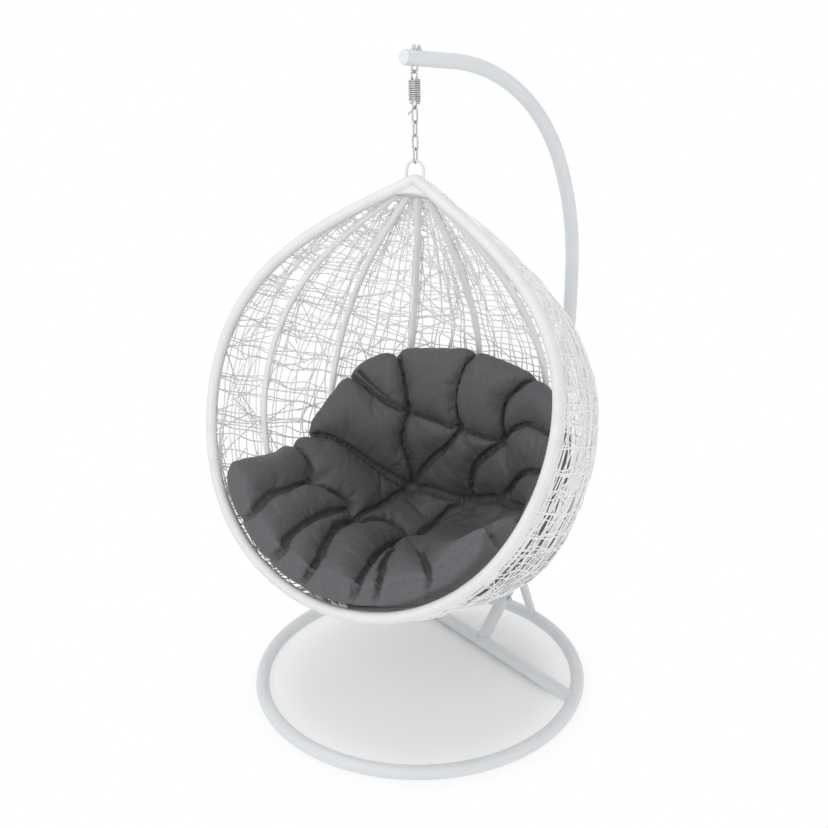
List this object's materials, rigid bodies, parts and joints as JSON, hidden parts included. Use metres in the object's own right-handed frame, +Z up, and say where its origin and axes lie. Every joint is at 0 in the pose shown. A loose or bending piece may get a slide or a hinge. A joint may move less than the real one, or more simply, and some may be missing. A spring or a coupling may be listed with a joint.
{
  "type": "hanging pod chair",
  "caption": "Open-weave pod chair with a one-piece tufted cushion, hung by a spring and chain from a bowed post on a round foot ring.",
  "frame": {"origin": "the flat under the middle of the crossbar, on the floor below the foot of the post", "axes": "+Z up, +Y to the back, the foot ring reaches forward along -Y under the pod; the pod is turned 19 degrees about its chain"},
  "size_m": [1.1626, 1.1797, 1.9518],
  "materials": {
    "powder_coat": "satin powder coat",
    "zinc": "bright zinc plate",
    "cap_plastic": "moulded",
    "wicker": "woven synthetic wicker",
    "cushion_fabric": "plain woven cover"
  },
  "bodies": {
    "stand": {"base_ring": "powder_coat", "crossbar": "powder_coat", "stub_tube": "powder_coat", "post_lower": "powder_coat", "post_upper": "powder_coat", "rear_strut": "powder_coat", "strut_lug": "powder_coat", "arm_end_cap": "cap_plastic", "stub_bolt": "zinc", "stub_bolt_washer": "zinc", "stub_bolt_nut": "zinc", "post_joint_bolt": "zinc", "post_joint_nut": "zinc", "strut_bolt": "zinc", "strut_bolt_nut": "zinc", "u_bolt": "zinc", "u_bolt_seat_front": "zinc", "u_bolt_seat_back": "zinc", "u_bolt_nut_front": "zinc", "u_bolt_nut_back": "zinc"},
    "spring_upper": {"spring_upper_bar": "zinc", "spring_coil": "zinc"},
    "spring_lower": {"spring_lower_bar": "zinc"},
    "link_1": {"chain_link_1": "zinc"},
    "link_2": {"chain_link_2": "zinc"},
    "link_3": {"chain_link_3": "zinc"},
    "link_4": {"chain_link_4": "zinc"},
    "pod": {"hanger_hoop": "powder_coat", "rim_hoop": "wicker", "apex_crown": "powder_coat", "rib_1": "wicker", "rib_2": "wicker", "rib_3": "wicker", "rib_4": "wicker", "rib_5": "wicker", "rib_6": "wicker", "rib_7": "wicker", "weave_shell": "wicker", "cushion": "cushion_fabric"}
  },
  "joints": [
    {"name": "spring_swing", "type": "hinge", "parent": "stand", "child": "spring_upper", "pos_m": [0, -0.25454, 1.87945], "axis": [0, 0.9925, -0.1219], "range_deg": [-7, 7]},
    {"name": "spring_bounce", "type": "slide", "parent": "spring_upper", "child": "spring_lower", "axis": [0, 0, -1], "range_m": [-0.004, 0.007], "stiffness_N_per_m": 60000, "springref_m": -0.0085, "deforming": ["spring_coil"]},
    {"name": "link_1_swing", "type": "hinge", "parent": "spring_lower", "child": "link_1", "pos_m": [0, -0.25454, 1.79047], "axis": [0.9455, 0.3256, 0], "range_deg": [-12, 1]},
    {"name": "link_2_twist", "type": "hinge", "parent": "link_1", "child": "link_2", "pos_m": [0, -0.25454, 1.75212], "axis": [0, 0, 1], "range_deg": [-15, 15]},
    {"name": "link_3_swing", "type": "hinge", "parent": "link_2", "child": "link_3", "pos_m": [0, -0.25454, 1.71377], "axis": [-0.3256, 0.9455, 0], "range_deg": [-5, 5]},
    {"name": "link_4_twist", "type": "hinge", "parent": "link_3", "child": "link_4", "pos_m": [0, -0.25454, 1.68072], "axis": [0, 0, 1], "range_deg": [-15, 15]},
    {"name": "pod_tilt", "type": "hinge", "parent": "link_4", "child": "pod", "pos_m": [0, -0.25454, 1.64937], "axis": [0.9455, 0.3256, 0], "range_deg": [-6, 1]}
  ]
}
